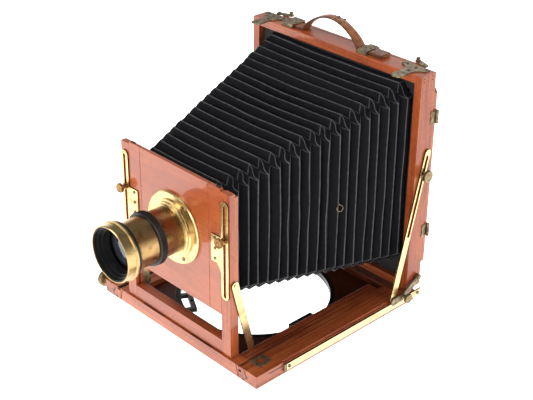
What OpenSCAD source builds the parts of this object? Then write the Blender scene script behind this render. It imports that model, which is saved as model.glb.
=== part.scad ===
// Folding field camera for 10 x 8 inch plates, opened for use.
// +Z is up and the lens looks along -Y. The origin is on the underside of the base, on the
// centre plane, below the front face of the rear body. All sizes are in millimetres.

/* [Rear body] */
// Overall width of the rear body and of the base
body_w = 300; // [296:1:304]
// Depth of the rear body boards, front to back
body_d = 27; // [26:0.5:28]
// Height of the top of the rear body above the base underside
body_top = 328; // [326:1:330]
// Thickness of the rear body boards
wall = 11; // [10:0.5:12]
// Length of the clipped corner of the reversing back
corner_clip = 28; // [20:1:34]

/* [Base] */
// Depth of the base in front of the rear body
base_front = 273.5; // [272:0.5:276]
// Thickness of the base at its side rails
base_t = 18; // [17.5:0.5:18.5]
// Thickness of the floor board
floor_t = 8.8; // [8:0.2:9]
// Clear radius of the tripod turntable
turntable_r = 101; // [98:1:102]

/* [Front standard] */
// Width across the uprights
standard_w = 202; // [200:1:204]
// Height of the top of the uprights
standard_top = 244; // [240:1:250]
// Width of each upright
upright_w = 16; // [15:0.5:17]
// Height of the lens axis above the base underside
lens_z = 162; // [160:1:164]

/* [Lens] */
// Radius of the lens flange
flange_r = 48; // [45:0.5:49]
// Radius of the rear barrel
barrel_r = 30; // [29:0.5:30]
// Radius of the knurled iris ring
iris_r = 34.5; // [33:0.5:36]
// Radius of the hood where a push-on cap fits
hood_r = 36; // [35.5:0.5:37]

/* [Hidden] */

$fn = 64;
mahogany = [0.62, 0.26, 0.13];
brass = [0.83, 0.66, 0.33];
aged_brass = [0.55, 0.49, 0.36];
black = [0.06, 0.06, 0.07];
hw = body_w / 2;
fit = 0.3;
run = 0.05;
hair = 0.02;

// Base: outer side rail, guide strip inside it, and the sliding focus frame inside that
rail_in = 131;
guide_in = 118;
base_rear = 18;
cross_d = 26;
frame_out = guide_in - fit;
frame_in = 101;
floor_front = -254;
focus_rear = -20;
turntable_y = -135;
ring_w = 6;
ring_lip = 3;
ring_z = [0.6, floor_t];
lip_z = [3.4, 5.4];
leg_half = 20;
leg_in = 17;
leg_bar = 7;
leg_side = 5;
leg_z = [0.8, 6.8];
leg_hole_r = 2;
bar_front_d = 18;
tongue = [3.6, 10.5, 13];

// Scored lines of the joinery: width, depth, and where they run
score_w = 0.8;
score_d = 0.6;
rail_score_x = 111.5;
bead_x = 143;
rebate_x = 147;
rebate_z = 15.6;
layer_z = 3;
kerf = [-252, -230, 12.6];
kerf_w = 1.2;
cleat_x = 64;
foot_score = [118, 1];
foot_inlays = [[-69, -26], [26, 66]];

// Rack and pinion that drive the focus frame, on the left side
tooth_module = 0.8;
pinion_teeth = 8;
pinion_y = -266;
pinion_z = 12.6;
pinion_x = -123.4;
pinion_w = 5;
shaft_r = 2;
tooth_pitch = PI * tooth_module;
rack_teeth = 64;
rack_z = pinion_z + tooth_module * pinion_teeth / 2;
focus_knob_r = 12.3;
knob_from = 7;
knob_w = 6;
knob_hub_r = 6;

// Brass bars along the base sides, and the carriages that slide on them
bar_z = [5, 14.7];
bar_t = 2.4;
bar_y = [-228, 29];
plate_x = hw + 2.7;
plate_t = 2.3;
pivot_y = 19;
pivot_z = 36;
clamp_y = -10;
clamp_z = 19.5;
strut_y = -29;
strut_z = 20;
stud_y = 14;
stud_z = 192;
strut_x = hw + 0.5;
strut_t = 1.9;
strut_half = 5.2;
slot_half = 2.5;
stud_r = 1.6;
strut_tilt = atan2(stud_y - strut_y, stud_z - strut_z);
strut_len = 211;
slot_from = 92;
slot_to = 203;
strut_head_r = 8.2;

// Front standard
std_front = -270.7;
std_t = 13;
sw = standard_w / 2;
panel_edge = sw - upright_w - fit;
panel_front = std_front - 0.2;
panel_t = 11;
panel_z = [75, standard_top + 3];
panel_lip = [5, 6.8];
foot_top = 37.5;
groove = [3.3, -266.4, -262.6];
plate_x0 = 93.5;
rise_z = 183;
rise_slot_z = [104, 228];
rise_plate_t = 1.6;
stay_top = [-264, 121];
stay_foot = [-239, 23.6];
stay_half = 5.3;
stay_t = 1.6;

// Lens stations along Y, measured from the panel towards the front
flange_t = 4;
boss_end = panel_front - 12;
iris_rear = -308;
iris_front = -318;
washer_rear = -349;
washer_r = 35.6;
hood_rear = -353;
hood_front = -369;
tube_in = 25;
sleeve_r = 28;
front_in = 27;
hood_in = 34;

// Rear body, back and focusing screen
board_z = 21.5;
back_y = body_d + fit;
back_t = 5.5;
back_mid = (body_top + 28) / 2;
back_half = body_top - back_mid;
gate = [128, 103];
screen_y = back_y + back_t + fit;
screen_t = 5.4;
screen_half = [143, 124];
screen_open = [122, 97];
hinge_x = hw + 2.4;
hinge_y = screen_y - 0.4;
hinge_z = [104, 267];
hinge_half = 9;
leaf_w = 5;
catch_at = [130, 30];
handle_y = [7, 25];
handle_x = [-64, 34];
handle_rise = 27.5;
strap_t = 3.4;

// Bellows sections as [y, half width, bottom, top]
bellows_rear = [7.2, 132, 54, 312];
bellows_nose = [-259.9, 75, 84, 240];
bellows_wall = 3;

// Helpers: boxes by their low and high corners, and round bars along X and Y
module span(lo, hi) {
    translate(lo) cube(hi - lo);
}
module bar_x(r, x0, x1, y, z) {
    translate([min(x0, x1), y, z]) rotate([0, 90, 0]) cylinder(r = r, h = abs(x1 - x0));
}
module bar_y(r, y0, y1, x, z) {
    translate([x, max(y0, y1), z]) rotate([90, 0, 0]) cylinder(r = r, h = abs(y1 - y0));
}
// Turned shape about the lens axis: points are [radius, y]
module turned(points) {
    translate([0, 0, lens_z]) rotate([-90, 0, 0]) rotate_extrude($fn = 128) polygon(points);
}
// A sheet in the YZ plane at x, thickness t towards +X
module side_sheet(x, t) {
    translate([x, 0, 0]) rotate([90, 0, 90]) linear_extrude(t) children();
}
module mirror_if(flip) {
    if (flip) mirror([1, 0, 0]) children();
    else children();
}
// A flat link with round ends between two points; its sides run a hair inside the end circles
module link2d(a, b, r) {
    d = b - a;
    side = r - hair;
    translate(a) rotate(atan2(d[1], d[0])) translate([0, -side]) square([norm(d), 2 * side]);
    translate(a) circle(r);
    translate(b) circle(r);
}

// ---- base ----
module floor_board() {
    color(mahogany) difference() {
        span([-frame_out, floor_front, 0], [frame_out, base_rear - cross_d, floor_t]);
        translate([0, turntable_y, -1])
            cylinder(r = turntable_r + ring_w + fit, h = floor_t + 2, $fn = 128);
        translate([0, turntable_y, lip_z[0] - run])
            cylinder(r = turntable_r + ring_w + ring_lip + fit, h = lip_z[1] - lip_z[0] + 2 * run,
                     $fn = 128);
    }
}
// Scored line on a top face, along Y
module score_y(x, y0, y1, top) {
    span([x - score_w / 2, y0, top - score_d], [x + score_w / 2, y1, top + 1]);
}
module side_rail() {
    difference() {
        span([rail_in, -base_front, 0], [hw, base_rear, base_t]);
        span([rebate_x, bar_y[0], rebate_z], [hw + 1, base_rear + 1, base_t + 1]);
        score_y(bead_x, bar_y[0], base_rear + 1, base_t);
        span([hw - score_d, -base_front - 1, layer_z],
             [hw + 1, base_rear + 1, layer_z + score_w]);
        span([hw - 2 * kerf_w, kerf[0], kerf[2]], [hw + 1, kerf[1], kerf[2] + kerf_w]);
    }
}
module side_rail_left() {
    color(mahogany) difference() {
        mirror([1, 0, 0]) side_rail();
        bar_x(shaft_r + run, -hw - 1, 1 - rail_in, pinion_y, pinion_z);
    }
}
module side_rail_right() { color(mahogany) side_rail(); }
// The right strip is grooved for the focus frame's tongue
module guide_strip_right() {
    color(mahogany) difference() {
        span([guide_in - fit, -base_front, 0], [rail_in, base_rear - cross_d, base_t]);
        span([guide_in - 1, -base_front - 1, tongue[1] - run],
             [guide_in + tongue[0] + fit, base_rear, tongue[2] + run]);
    }
}
// The left strip has the rack's groove and the pinion's pocket
module guide_strip_left() {
    rack_side = guide_in + 6;
    pocket_r = 5;
    color(mahogany) difference() {
        span([-rail_in, -base_front, 0], [fit - guide_in, base_rear - cross_d, base_t]);
        span([-rack_side, -base_front - 1, rack_z - 1.2], [1 - guide_in, base_rear, base_t + 1]);
        bar_x(pocket_r, -rack_side, 1 - guide_in, pinion_y, pinion_z);
        bar_x(shaft_r + run, -rail_in - 1, -rack_side + 1, pinion_y, pinion_z);
    }
}
module rear_cross_rail() {
    color(mahogany) span([-rail_in, base_rear - cross_d, 0], [rail_in, base_rear, base_t]);
}
module slide_bar() {
    difference() {
        span([hw, bar_y[0], bar_z[0]], [hw + bar_t, bar_y[1], bar_z[1]]);
        bar_x(1.3, hw - 1, hw + 4, bar_y[0] + 8, 10);
        bar_x(1.3, hw - 1, hw + 4, bar_y[1] - 7, 10);
    }
}
module slide_bars() {
    color(brass) for (side = [0, 1]) mirror_if(side) slide_bar();
}
module base_screws() {
    color(aged_brass) for (side = [0, 1]) mirror_if(side)
        for (y = [bar_y[0] + 8, bar_y[1] - 7]) {
            bar_x(2.3, hw + bar_t, hw + bar_t + 0.9, y, 10);
            bar_x(1.2, hw, hw + bar_t, y, 10);
        }
}
module catch_strikers() {
    color(aged_brass) for (side = [0, 1]) mirror_if(side) difference() {
        span([121, -258, base_t], [138, -236, base_t + 0.8]);
        span([125, -252, base_t - 1], [133, -241, base_t + 2]);
    }
}

// ---- turntable ----
module turntable_ring() {
    color(black) translate([0, turntable_y, 0]) difference() {
        union() {
            translate([0, 0, ring_z[0]])
                cylinder(r = turntable_r + ring_w, h = ring_z[1] - ring_z[0], $fn = 128);
            translate([0, 0, lip_z[0]])
                cylinder(r = turntable_r + ring_w + ring_lip, h = lip_z[1] - lip_z[0], $fn = 128);
        }
        translate([0, 0, -1]) cylinder(r = turntable_r, h = floor_t + 2, $fn = 128);
    }
}
// Staple inside the ring for each tripod leg: a window for its tongue and a hole for its peg
module leg_socket() {
    inner = turntable_r - leg_in;
    difference() {
        intersection() {
            span([inner, -leg_half, leg_z[0]], [turntable_r + 1, leg_half, leg_z[1]]);
            cylinder(r = turntable_r, h = floor_t, $fn = 128);
        }
        span([inner + leg_bar, leg_side - leg_half, 0],
             [turntable_r + 2, leg_half - leg_side, floor_t]);
        translate([inner + leg_bar / 2, 0, 0]) cylinder(r = leg_hole_r, h = floor_t);
    }
}
module leg_sockets() {
    color(black) translate([0, turntable_y, 0])
        for (turn = [0, 120, 240]) rotate(turn) leg_socket();
}

// ---- focusing drive ----
module pinion() {
    root_r = tooth_module * (pinion_teeth / 2 - 1.2);
    tip_r = tooth_module * (pinion_teeth / 2 + 0.9);
    color(brass) union() {
        bar_x(shaft_r, -hw - knob_from - knob_w, pinion_x + 1, pinion_y, pinion_z);
        translate([pinion_x, pinion_y, pinion_z]) rotate([90, 0, 90]) linear_extrude(pinion_w) {
            circle(root_r);
            for (i = [0:pinion_teeth - 1]) rotate(90 + i * 360 / pinion_teeth)
                polygon([[0, -0.62], [root_r, -0.62], [tip_r, -0.22], [tip_r, 0.22],
                         [root_r, 0.62], [0, 0.62]]);
        }
    }
}
module focus_knob() {
    color(brass) difference() {
        union() {
            bar_x(focus_knob_r, -hw - knob_from - knob_w, -hw - knob_from, pinion_y, pinion_z);
            bar_x(knob_hub_r, -hw - knob_from, -hw - 0.4, pinion_y, pinion_z);
        }
        bar_x(shaft_r, -hw - knob_from - knob_w - 1, -hw, pinion_y, pinion_z);
    }
}

// ---- focus frame ----
module focus_rail() {
    difference() {
        span([frame_in, bar_front_d - base_front, floor_t + 0.2],
             [frame_out - fit, focus_rear, base_t]);
        score_y(rail_score_x, bar_front_d - base_front - 1, focus_rear + 1, base_t);
    }
}
module focus_rail_left() { color(mahogany) mirror([1, 0, 0]) focus_rail(); }
module focus_rail_right() {
    color(mahogany) union() {
        focus_rail();
        span([frame_out - fit - 1, bar_front_d - base_front, tongue[1]],
             [guide_in + tongue[0], focus_rear, tongue[2]]);
    }
}
module front_bar() {
    color(mahogany) difference() {
        span([fit - frame_out, -base_front, fit],
             [frame_out - fit, bar_front_d - base_front, base_t]);
        span([-foot_score[0], std_front - foot_score[1], base_t - 2 * score_d],
             [foot_score[0], std_front, base_t + 1]);
        for (x = foot_inlays)
            span([x[0], std_front - 2 * foot_score[1], base_t - 2], [x[1], std_front, base_t + 1]);
    }
}
// Tooth gaps are centred on the pinion at rest
module rack() {
    tip = rack_z - 0.75 * tooth_module;
    root = rack_z + 1.1 * tooth_module;
    start = pinion_y - 2.5 * tooth_pitch;
    top = base_t - 0.2;
    color(brass) side_sheet(pinion_x + 0.2, fit - frame_out - pinion_x - 0.2)
        polygon([for (i = [0:rack_teeth - 1]) let (y = start + i * tooth_pitch)
                     each [[y - 0.72, root], [y - 0.3, tip], [y + 0.3, tip], [y + 0.72, root]],
                 [start + rack_teeth * tooth_pitch, root], [start + rack_teeth * tooth_pitch, top],
                 [start - 1.1, top], [start - 1.1, root]]);
}
module upright() {
    difference() {
        span([sw - upright_w, std_front, base_t], [sw, std_front + std_t, standard_top]);
        span([sw - upright_w - 1, groove[1] - 0.1, base_t - 1],
             [sw - upright_w + groove[0], groove[2] + 0.1, standard_top + 1]);
        span([sw - upright_w - 1, std_front + std_t - panel_lip[0], standard_top - panel_lip[0]],
             [sw + 1, std_front + std_t + 1, standard_top + 1]);
        bar_y(2 + run, std_front - 1, std_front + 9, plate_x0, rise_z);
    }
}
module upright_left() { color(mahogany) mirror([1, 0, 0]) upright(); }
module upright_right() { color(mahogany) upright(); }
module standard_foot() {
    color(mahogany) span([upright_w - sw, std_front, base_t], [sw - upright_w, std_front + std_t,
                                                               foot_top]);
}

// ---- lens panel ----
module lens_panel() {
    edge = panel_edge;
    color(mahogany) difference() {
        union() {
            span([-edge, panel_front, panel_z[0]], [edge, panel_front + panel_t, panel_z[1]]);
            span([-edge - 3, groove[1] + 0.1, panel_z[0]], [edge + 3, groove[2] - 0.1,
                                                            standard_top - 1]);
        }
        bar_y(barrel_r + 1, panel_front - 1, panel_front + panel_t + 1, 0, lens_z);
        span([-edge - 1, panel_front + panel_lip[0], panel_z[1] - panel_lip[1]],
             [edge + 1, panel_front + panel_t + 1, panel_z[1] + 1]);
        for (x = [-cleat_x, cleat_x]) {
            span([x - score_w / 2, panel_front - 1, panel_z[0] - 1],
                 [x + score_w / 2, panel_front + score_d, panel_z[1] + 1]);
            score_y(x, panel_front - 1, panel_front + panel_t + 1, panel_z[1]);
        }
    }
}
// Slotted plate: a strap over the upright and a screwed tab on the panel
module rise_plate() {
    half = 6.4;
    tab = [70, 147, 184];
    slot_w = 2.3;
    color(brass) translate([0, panel_front, 0]) rotate([90, 0, 0]) linear_extrude(rise_plate_t)
        difference() {
            union() {
                link2d([plate_x0, rise_slot_z[0] + 3], [plate_x0, rise_slot_z[1] - 1], half);
                translate([tab[0], tab[1]]) square([plate_x0 - tab[0], tab[2] - tab[1]]);
                translate([plate_x0 - 13, tab[1] - 13]) square([8, 14]);
            }
            translate([plate_x0 - 19.6, tab[1] - 13]) circle(13);
            link2d([plate_x0, rise_slot_z[0] + 2], [plate_x0, rise_slot_z[1] - 2], slot_w);
            for (z = [152, 166, 180]) translate([76.5, z]) circle(1.3);
        }
}
module rise_plate_left() { mirror([1, 0, 0]) rise_plate(); }
module rise_plate_right() { rise_plate(); }
module panel_screws() {
    front = panel_front - rise_plate_t;
    color(aged_brass) {
        for (side = [-1, 1]) for (z = [152, 166, 180]) {
            bar_y(2, front, front - 0.7, side * 76.5, z);
            bar_y(1.2, front, panel_front, side * 76.5, z);
        }
        for (turn = [60, 180, 300]) {
            x = 41 * cos(turn);
            z = lens_z + 41 * sin(turn);
            bar_y(2.8, panel_front - flange_t, panel_front - flange_t - 0.6, x, z);
            bar_y(1.7, panel_front, panel_front - flange_t, x, z);
        }
    }
}
module lens_flange() {
    f = panel_front;
    color(brass) difference() {
        turned([[barrel_r + run, f], [flange_r, f], [flange_r, f - 2.6], [flange_r - 1.4, f - flange_t],
                [38, f - flange_t], [38, f - 6], [35.5, f - 7], [35.5, f - 9], [33.5, f - 10],
                [33.5, boss_end], [barrel_r + run, boss_end]]);
        for (turn = [60, 180, 300])
            bar_y(1.8, f + 1, f - flange_t - 1, 41 * cos(turn), lens_z + 41 * sin(turn));
    }
}
module rear_barrel() {
    rear = panel_front + panel_t + 3;
    color(brass) turned([[tube_in, rear], [barrel_r, rear], [barrel_r, iris_rear + fit],
                         [sleeve_r, iris_rear + fit], [sleeve_r, iris_front - 2],
                         [tube_in, iris_front - 2]]);
}
module front_barrel() {
    inner = sleeve_r + run;
    color(brass) turned([[inner, iris_front - fit], [31, iris_front - fit], [30.4, -334],
                         [30.4, -344], [31, washer_rear], [front_in, washer_rear],
                         [front_in, iris_front - 2.2], [inner, iris_front - 2.2]]);
}
module lens_hood() {
    color(brass) turned([[hood_in, hood_rear], [37, hood_rear], [38, hood_rear - 1],
                         [38, hood_rear - 3], [hood_r, hood_rear - 4], [hood_r, hood_front + 1],
                         [hood_r - 0.6, hood_front], [hood_in + 0.6, hood_front],
                         [hood_in, hood_front + 0.8]]);
}
// Black stepped lining of the hood, whose flange shows between the hood and the barrel
module lens_baffle() {
    r = hood_in - run;
    color(black) turned([[front_in, washer_rear], [washer_r, washer_rear], [washer_r, hood_rear + fit],
                         [r, hood_rear + fit], [r, hood_front + 1.2], [r - 0.8, hood_front + 1.2],
                         [r - 1.2, -363], [r - 3.4, -363], [r - 3.8, -358.5], [r - 6, -358.5],
                         [r - 6.4, hood_rear], [front_in, hood_rear]]);
}
module front_element() {
    color([0.75, 0.85, 0.95, 0.5])
        turned([[0, -352.4], [10, -351.7], [18, -350], [26.8, -346.4], [26.8, -343], [0, -343]]);
}
module rear_element() {
    color([0.75, 0.85, 0.95, 0.5])
        turned([[0, -268], [tube_in - 0.1, -268], [tube_in - 0.1, -264], [14, -260.5], [0, -259.4]]);
}
module iris_blades() {
    color(black) turned([[12, -314], [tube_in - 0.1, -314], [tube_in - 0.1, -312.6], [12, -312.6]]);
}
module iris_ring() {
    color(black) turned([[sleeve_r + run, iris_rear], [iris_r - 1, iris_rear], [iris_r, iris_rear - 1],
                         [iris_r, iris_front + 1], [iris_r - 1, iris_front],
                         [sleeve_r + run, iris_front]]);
}

// ---- clamp knobs and stays of the front ----
module rise_knob() {
    face = panel_front - rise_plate_t - 0.2;
    color(brass) union() {
        bar_y(2, std_front + 8, face, plate_x0, rise_z);
        bar_y(4.4, face, face - 2, plate_x0, rise_z);
        bar_y(2.6, face - 2, face - 6, plate_x0, rise_z);
        bar_y(6.4, face - 6, face - 11, plate_x0, rise_z);
    }
}
module rise_knob_left() { mirror([1, 0, 0]) rise_knob(); }
module rise_knob_right() { rise_knob(); }
module stay() {
    color(brass) union() {
        side_sheet(sw + fit, stay_t) link2d(stay_top, stay_foot, stay_half);
        bar_x(2.3, sw + 1, sw + fit + stay_t + 0.8, stay_top[0], stay_top[1]);
    }
}
module stay_left() { mirror([1, 0, 0]) stay(); }
module stay_right() { stay(); }

// ---- rear carriages, struts and their knobs ----
module carriage() {
    bar_top = bar_z[1] + 0.4;
    union() {
        difference() {
            union() {
                side_sheet(plate_x, plate_t) {
                    link2d([strut_y, strut_z - 2], [clamp_y, clamp_z], 5);
                    link2d([clamp_y, clamp_z], [pivot_y, pivot_z], 4.6);
                }
                span([hw + fit, clamp_y - 13, bar_top],
                     [plate_x + 1, clamp_y + 10, bar_top + 4]);
            }
            bar_x(2 + run, hw + bar_t, plate_x + plate_t + 1, clamp_y, clamp_z);
        }
        bar_x(4.4, hw + fit, plate_x + 1, pivot_y, pivot_z);
        bar_x(2.4, hw - 8, hw + 1, pivot_y, pivot_z);
        bar_x(3, plate_x + 1, plate_x + plate_t + 1, pivot_y, pivot_z);
        bar_x(stud_r, strut_x - 0.3, plate_x + 1, strut_y, strut_z);
    }
}
module carriages() {
    color(aged_brass) for (side = [0, 1]) mirror_if(side) carriage();
}
module strut() {
    color(brass) side_sheet(strut_x, strut_t) translate([strut_y, strut_z]) rotate(-strut_tilt)
        difference() {
            link2d([0, 0], [0, strut_len - strut_half], strut_half);
            link2d([0, slot_from], [0, slot_to - slot_half], slot_half);
            circle(stud_r + run);
        }
}
module strut_left() { mirror([1, 0, 0]) strut(); }
module strut_right() { strut(); }
module side_knob(y, z, from, head, into) {
    union() {
        bar_x(stud_r, into, from, y, z);
        bar_x(4, from, from + 1.6, y, z);
        bar_x(2.6, from + 1.6, from + 4.6, y, z);
        bar_x(head, from + 4.6, from + 9.6, y, z);
    }
}
module strut_knob() {
    color(aged_brass) side_knob(stud_y, stud_z, strut_x + strut_t + 0.2, strut_head_r, hw - 7);
}
module strut_knob_left() { mirror([1, 0, 0]) strut_knob(); }
module strut_knob_right() { strut_knob(); }
module rail_knob() {
    color(brass) side_knob(clamp_y, clamp_z, plate_x + plate_t + 0.2, 6.6, plate_x + 0.1);
}
module rail_knob_left() { mirror([1, 0, 0]) rail_knob(); }
module rail_knob_right() { rail_knob(); }

// ---- rear body ----
module body_top_board() {
    color(mahogany) span([wall - hw, 0, body_top - wall], [hw - wall, body_d, body_top]);
}
module body_bottom_board() {
    color(mahogany) span([wall - hw, 0, board_z], [hw - wall, body_d, board_z + wall]);
}
module body_side_board() {
    difference() {
        span([hw - wall, 0, board_z], [hw, body_d, body_top]);
        bar_x(2.4 + run, hw - 8.5, hw + 1, pivot_y, pivot_z);
        bar_x(stud_r + run, hw - 7.5, hw + 1, stud_y, stud_z);
    }
}
module body_left_board() { color(mahogany) mirror([1, 0, 0]) body_side_board(); }
module body_right_board() { color(mahogany) body_side_board(); }
module bellows_frame() {
    y0 = bellows_rear[0] + fit;
    color(black) difference() {
        span([wall - hw, y0, board_z + wall], [hw - wall, y0 + 8, body_top - wall]);
        span([-126, y0 - 1, 62], [126, y0 + 9, 304]);
    }
}
// Catch plate on each top corner: a tongue over the front and two screwed arms
module corner_plates() {
    x0 = 125.5;
    color(aged_brass) for (side = [0, 1]) mirror_if(side)
        translate([0, 0, body_top]) linear_extrude(1.7) difference() {
            polygon([[x0 - 6.8, 4], [x0 - 9, -20], [x0 - 3, -24], [x0 + 4, -23], [x0 + 7.5, -19],
                     [x0 + 6.8, 4], [x0 + 18, 16], [x0 + 17, 24], [x0 - 22, 24], [x0 - 23, 17]]);
            translate([x0 + 21, 1]) circle(13.5);
            translate([x0 - 24, -1]) circle(16.5);
            translate([x0 - 0.5, -17]) circle(1.8);
        }
}
// Leather strap: two flat ends under the loops and an arched grip between them
module handle_strap() {
    x0 = handle_x[0];
    x1 = handle_x[1];
    steps = 24;
    function arch(t) = [x0 + (x1 - x0) * t, handle_rise * pow(sin(180 * t), 0.72)];
    color([0.42, 0.22, 0.13]) translate([0, handle_y[1], body_top]) rotate([90, 0, 0])
        linear_extrude(handle_y[1] - handle_y[0])
            polygon(concat([[-102, 0], [x0, 0]],
                           [for (i = [1:steps - 1]) arch(i / steps)],
                           [[x1, 0], [78, 0], [78, strap_t + 2], [60, strap_t + 2], [58, strap_t]],
                           [[x1 + 2, strap_t]],
                           [for (i = [1:steps - 1]) arch(1 - i / steps) + [0, strap_t]],
                           [[x0 - 2, strap_t], [-102, strap_t]]));
}
module handle_loop(x, w) {
    h = strap_t + 0.3;
    difference() {
        span([x, handle_y[0] - 4, body_top], [x + w, handle_y[1] + 4, body_top + h + 1.6]);
        span([x - 1, handle_y[0] - 0.3, body_top - 1], [x + w + 1, handle_y[1] + 0.3, body_top + h]);
    }
}
module handle_loops() {
    color(aged_brass) {
        handle_loop(-98, 20);
        handle_loop(40, 15);
    }
}

// ---- back and focusing screen ----
module reversing_back() {
    c = corner_clip;
    b = back_half;
    color(mahogany)
        translate([0, back_y + back_t, back_mid]) rotate([90, 0, 0]) linear_extrude(back_t)
            difference() {
                polygon([[-hw, c - b], [c - hw, -b], [hw - c, -b], [hw, c - b],
                         [hw, b - c], [hw - c, b], [c - hw, b], [-hw, b - c]]);
                square([2 * gate[0], 2 * gate[1]], center = true);
            }
}
// Fixed leaf and middle knuckle of each hinge of the focusing screen
module hinge_leaves() {
    color(aged_brass) for (z = hinge_z) {
        span([hw, back_y - leaf_w, z - hinge_half], [hw + 1, hinge_y - 2.3, z + hinge_half]);
        span([hw, hinge_y - 3, z - 3], [hw + 1, hinge_y, z + 3]);
        difference() {
            translate([hinge_x, hinge_y, z - 3]) cylinder(r = 2, h = 6);
            translate([hinge_x, hinge_y, z - 4]) cylinder(r = 1 + run, h = 8);
        }
    }
}
// The catch is a leaf that turns on the back's top edge, with a finger pin
module back_catch() {
    tip = [113, 36.5];
    color(aged_brass) union() {
        translate([0, 0, body_top + 0.2]) linear_extrude(1.5) link2d(catch_at, tip, 4);
        translate([tip[0], tip[1], body_top + 1]) cylinder(r = 2.8, h = 5);
        translate([catch_at[0], catch_at[1], body_top + 1]) cylinder(r = 2.6, h = 2.4);
    }
}
module back_catch_left() { mirror([1, 0, 0]) back_catch(); }
module back_catch_right() { back_catch(); }
module screen_frame() {
    h = screen_half;
    o = screen_open;
    rebate = 5;
    color(mahogany) difference() {
        span([-h[0], screen_y, back_mid - h[1]], [h[0], screen_y + screen_t, back_mid + h[1]]);
        span([-o[0], screen_y - 1, back_mid - o[1]], [o[0], screen_y + screen_t + 1, back_mid + o[1]]);
        span([-o[0] - rebate, screen_y - 1, back_mid - o[1] - rebate],
             [o[0] + rebate, screen_y + 2.8, back_mid + o[1] + rebate]);
    }
}
// Moving knuckles, strap and pin of each hinge of the focusing screen
module hinge_straps() {
    edge = screen_half[0];
    color(aged_brass) for (z = hinge_z) union() {
        translate([hinge_x, hinge_y, z - hinge_half]) cylinder(r = 1, h = 2 * hinge_half);
        for (z0 = [z - hinge_half, z + 3.3]) {
            translate([hinge_x, hinge_y, z0]) cylinder(r = 2, h = hinge_half - 3.3);
            span([edge, hinge_y + 0.6, z0], [hinge_x, hinge_y + 1.6, z0 + hinge_half - 3.3]);
        }
        span([edge, hinge_y + 0.6, z - hinge_half],
             [edge + 1, screen_y + screen_t - 0.2, z + hinge_half]);
    }
}
module ground_glass() {
    g = screen_open + [4.8, 4.8];
    color([0.9, 0.92, 0.9, 0.6])
        span([-g[0], screen_y + 0.4, back_mid - g[1]], [g[0], screen_y + 2.7, back_mid + g[1]]);
}

// ---- bellows ----
// A tapered hollow box: rings of four corners, outside then inside
function section_at(y) = let (t = (y - bellows_rear[0]) / (bellows_nose[0] - bellows_rear[0]))
    [for (k = [1:3]) bellows_rear[k] + t * (bellows_nose[k] - bellows_rear[k])];
function ring4(y, in) = let (s = section_at(y)) [[-s[0] + in, y, s[1] + in],
    [s[0] - in, y, s[1] + in], [s[0] - in, y, s[2] - in], [-s[0] + in, y, s[2] - in]];
module bellows() {
    y0 = bellows_rear[0];
    y1 = bellows_nose[0];
    rings = [ring4(y0, 0), ring4(y1, 0), ring4(y1, bellows_wall), ring4(y0, bellows_wall)];
    color(black) polyhedron(
        points = [for (r = rings) each r],
        faces = [for (k = [0:3], i = [0:3])
                 [k * 4 + i, k * 4 + (i + 1) % 4, ((k + 1) % 4) * 4 + (i + 1) % 4,
                  ((k + 1) % 4) * 4 + i]]);
}

floor_board();
side_rail_left();
side_rail_right();
guide_strip_left();
guide_strip_right();
rear_cross_rail();
slide_bars();
base_screws();
catch_strikers();
turntable_ring();
leg_sockets();
pinion();
focus_knob();
focus_rail_left();
focus_rail_right();
front_bar();
rack();
upright_left();
upright_right();
standard_foot();
lens_panel();
rise_plate_left();
rise_plate_right();
panel_screws();
lens_flange();
rear_barrel();
front_barrel();
lens_hood();
lens_baffle();
front_element();
rear_element();
iris_blades();
iris_ring();
rise_knob_left();
rise_knob_right();
stay_left();
stay_right();
carriages();
strut_left();
strut_right();
strut_knob_left();
strut_knob_right();
rail_knob_left();
rail_knob_right();
body_top_board();
body_bottom_board();
body_left_board();
body_right_board();
bellows_frame();
corner_plates();
handle_strap();
handle_loops();
reversing_back();
back_catch_left();
back_catch_right();
hinge_leaves();
hinge_straps();
screen_frame();
ground_glass();
bellows();
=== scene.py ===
"""Looks of a folding field camera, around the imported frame: studio, materials, detailed pieces."""
import math
import random

import bmesh
import bpy
from mathutils import Matrix, Vector


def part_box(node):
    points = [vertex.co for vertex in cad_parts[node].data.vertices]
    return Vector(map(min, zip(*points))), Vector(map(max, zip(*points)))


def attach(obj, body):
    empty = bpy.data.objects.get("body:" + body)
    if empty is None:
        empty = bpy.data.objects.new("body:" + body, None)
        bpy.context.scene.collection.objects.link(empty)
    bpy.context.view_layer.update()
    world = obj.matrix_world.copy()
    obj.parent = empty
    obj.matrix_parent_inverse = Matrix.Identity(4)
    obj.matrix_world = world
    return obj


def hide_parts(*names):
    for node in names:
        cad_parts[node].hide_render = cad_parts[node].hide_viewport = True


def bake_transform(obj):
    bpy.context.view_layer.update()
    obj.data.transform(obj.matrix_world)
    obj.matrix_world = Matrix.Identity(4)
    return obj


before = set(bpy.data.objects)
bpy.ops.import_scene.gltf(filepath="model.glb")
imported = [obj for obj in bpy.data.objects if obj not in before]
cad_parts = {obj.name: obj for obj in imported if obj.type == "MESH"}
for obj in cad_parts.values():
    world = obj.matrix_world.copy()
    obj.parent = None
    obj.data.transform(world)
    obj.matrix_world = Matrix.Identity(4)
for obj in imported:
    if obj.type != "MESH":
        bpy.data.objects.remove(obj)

MM = 0.001
X, Y, Z = 0, 1, 2
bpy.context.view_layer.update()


# ---- measures from the frame ----
def middle(node):
    low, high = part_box(node)
    return (low + high) / 2


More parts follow.
